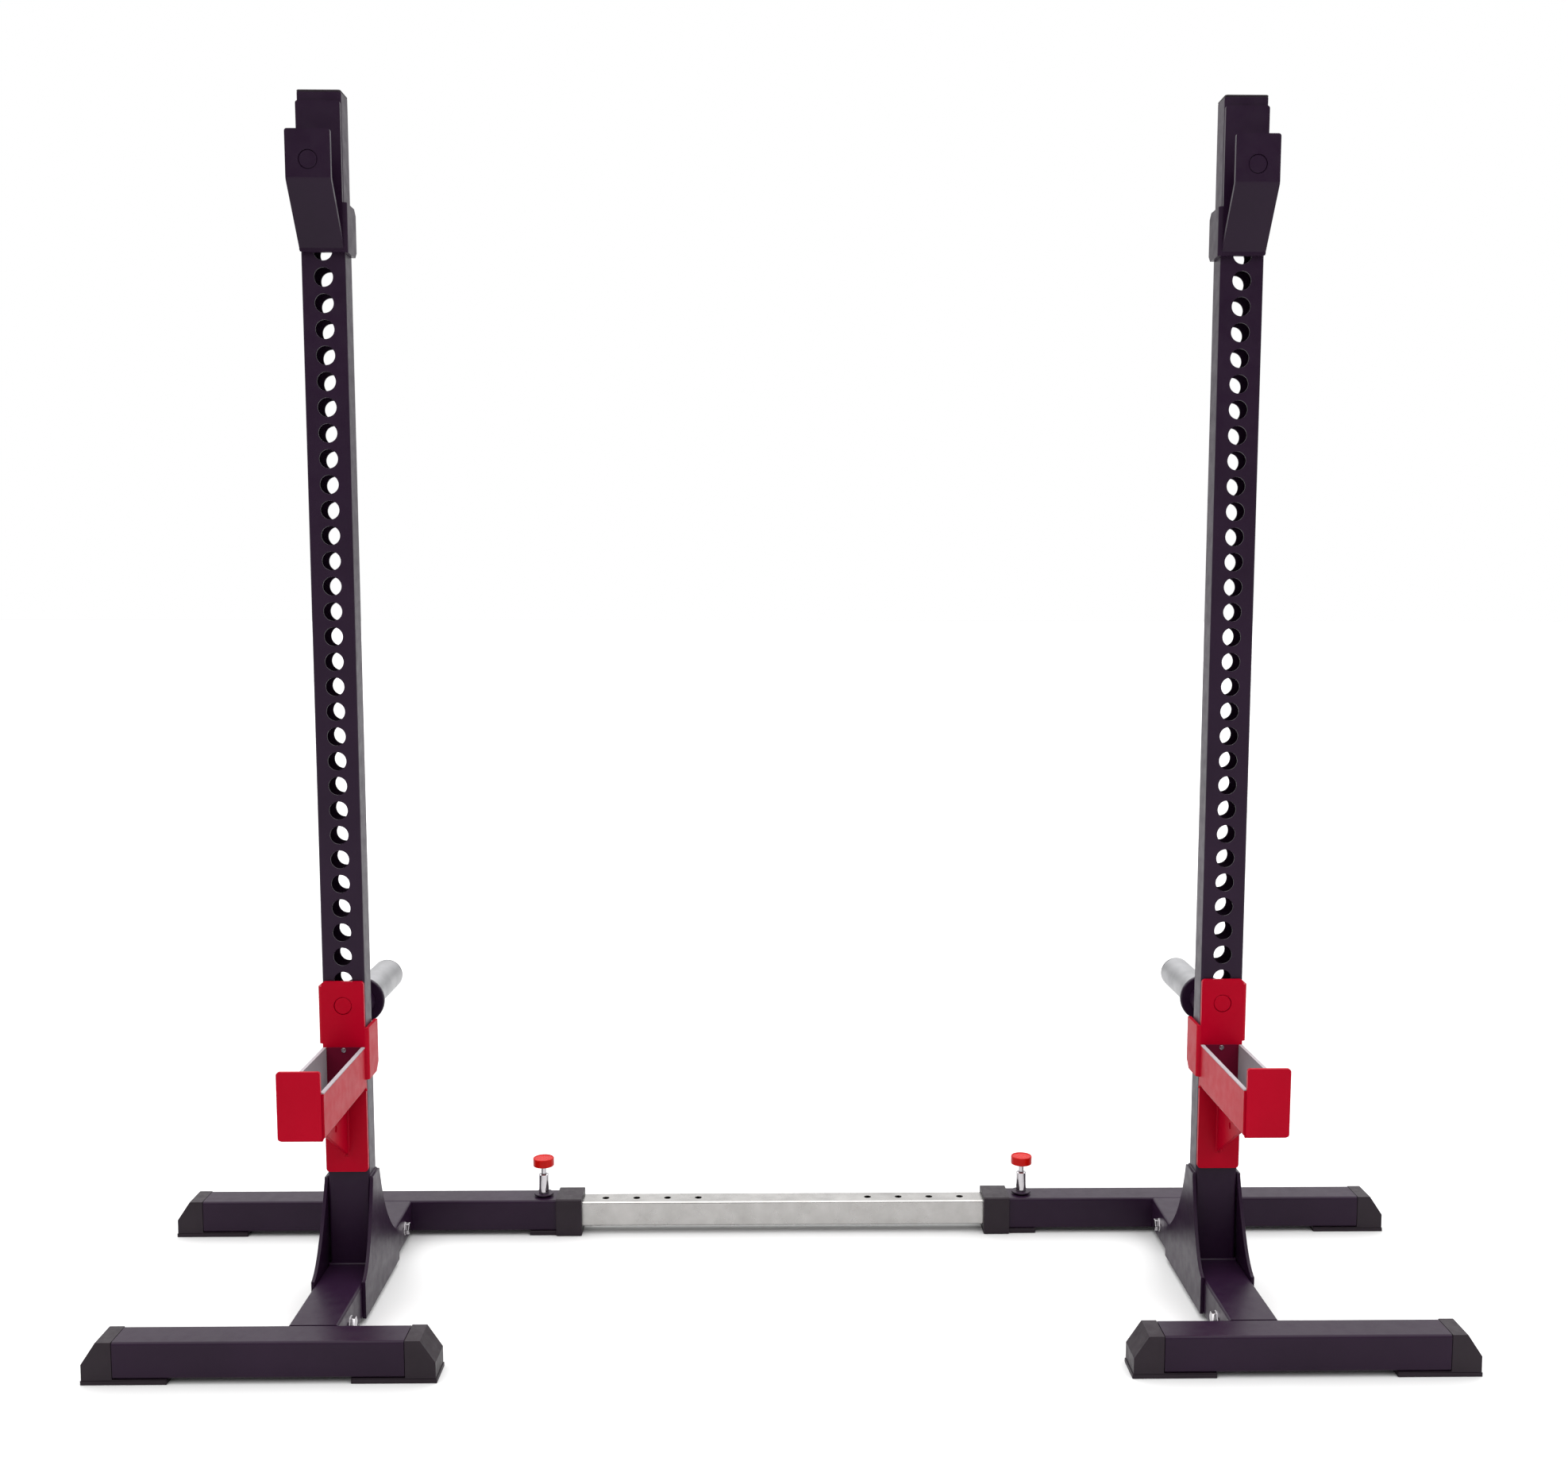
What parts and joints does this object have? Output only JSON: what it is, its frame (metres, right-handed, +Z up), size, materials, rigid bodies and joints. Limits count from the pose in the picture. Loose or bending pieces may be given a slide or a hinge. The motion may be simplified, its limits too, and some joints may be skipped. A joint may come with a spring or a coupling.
{
  "type": "squat stand",
  "caption": "Free-standing squat stand: holed uprights on feet, telescoping cross tube with pop-pins, J-hooks, red spotter arms and plate pegs.",
  "frame": {"origin": "on the floor, under the middle of the bounding box", "axes": "+X to the right of a viewer in front, along the cross tube; +Y to the back; +Z up"},
  "size_m": [1.945, 0.555, 1.705],
  "materials": {
    "frame_paint": "satin powder coat",
    "red_paint": "satin powder coat",
    "black_plastic": "fine grain",
    "knob_red": "gloss",
    "liner_grey": "satin",
    "zinc_silver": "zinc plated",
    "peg_grey": "satin plated",
    "bolt_chrome": "bright",
    "spring_steel": "oiled"
  },
  "bodies": {
    "left_stand": {"left_upright": "frame_paint", "left_upright_cap": "black_plastic", "left_runner": "frame_paint", "left_outer_gusset": "frame_paint", "left_inner_gusset": "frame_paint", "left_front_bolt": "bolt_chrome", "left_front_nut": "bolt_chrome", "left_rear_bolt": "bolt_chrome", "left_rear_nut": "bolt_chrome", "left_front_foot": "frame_paint", "left_front_outer_cap": "black_plastic", "left_front_inner_cap": "black_plastic", "left_rear_beam": "frame_paint", "left_rear_cap": "black_plastic", "left_collar": "black_plastic", "left_pin_barrel": "bolt_chrome", "left_pin_spring": "spring_steel", "left_peg_post": "frame_paint", "left_peg_sleeve": "peg_grey", "left_peg_cap": "black_plastic"},
    "right_stand": {"right_upright": "frame_paint", "right_upright_cap": "black_plastic", "right_runner": "frame_paint", "right_outer_gusset": "frame_paint", "right_inner_gusset": "frame_paint", "right_front_bolt": "bolt_chrome", "right_front_nut": "bolt_chrome", "right_rear_bolt": "bolt_chrome", "right_rear_nut": "bolt_chrome", "right_front_foot": "frame_paint", "right_front_outer_cap": "black_plastic", "right_front_inner_cap": "black_plastic", "right_rear_beam": "frame_paint", "right_rear_cap": "black_plastic", "right_collar": "black_plastic", "right_pin_barrel": "bolt_chrome", "right_pin_spring": "spring_steel", "right_peg_post": "frame_paint", "right_peg_sleeve": "peg_grey", "right_peg_cap": "black_plastic"},
    "cross_tube": {"cross_tube": "zinc_silver", "left_glide_plug": "black_plastic", "right_glide_plug": "black_plastic"},
    "left_pop_pin": {"left_pin_rod": "bolt_chrome", "left_pin_knob": "knob_red"},
    "left_hook": {"left_j_hook": "frame_paint", "left_hook_pin": "frame_paint", "left_hook_sleeve": "black_plastic"},
    "left_spotter": {"left_spotter_arm": "red_paint", "left_spotter_liner": "liner_grey", "left_spotter_pin": "red_paint"},
    "right_pop_pin": {"right_pin_rod": "bolt_chrome", "right_pin_knob": "knob_red"},
    "right_hook": {"right_j_hook": "frame_paint", "right_hook_pin": "frame_paint", "right_hook_sleeve": "black_plastic"},
    "right_spotter": {"right_spotter_arm": "red_paint", "right_spotter_liner": "liner_grey", "right_spotter_pin": "red_paint"}
  },
  "joints": [
    {"name": "left_width_slide", "type": "slide", "parent": "left_stand", "child": "cross_tube", "axis": [-1, 0, 0], "range_m": [0, 0.25]},
    {"name": "right_width_slide", "type": "slide", "parent": "cross_tube", "child": "right_stand", "axis": [-1, 0, 0], "range_m": [0, 0.25]},
    {"name": "left_pop_pin_pull", "type": "slide", "parent": "left_stand", "child": "left_pop_pin", "axis": [0, 0, 1], "range_m": [0, 0.01], "stiffness_N_per_m": 600, "springref_m": -0.008, "deforming": ["left_pin_spring"]},
    {"name": "left_hook_pull_out", "type": "slide", "parent": "left_stand", "child": "left_hook", "axis": [0, -1, 0], "range_m": [0, 0.06]},
    {"name": "left_spotter_pull_out", "type": "slide", "parent": "left_stand", "child": "left_spotter", "axis": [0, -1, 0], "range_m": [0, 0.06]},
    {"name": "right_pop_pin_pull", "type": "slide", "parent": "right_stand", "child": "right_pop_pin", "axis": [0, 0, 1], "range_m": [0, 0.01], "stiffness_N_per_m": 600, "springref_m": -0.008, "deforming": ["right_pin_spring"]},
    {"name": "right_hook_pull_out", "type": "slide", "parent": "right_stand", "child": "right_hook", "axis": [0, -1, 0], "range_m": [0, 0.06]},
    {"name": "right_spotter_pull_out", "type": "slide", "parent": "right_stand", "child": "right_spotter", "axis": [0, -1, 0], "range_m": [0, 0.06]}
  ]
}
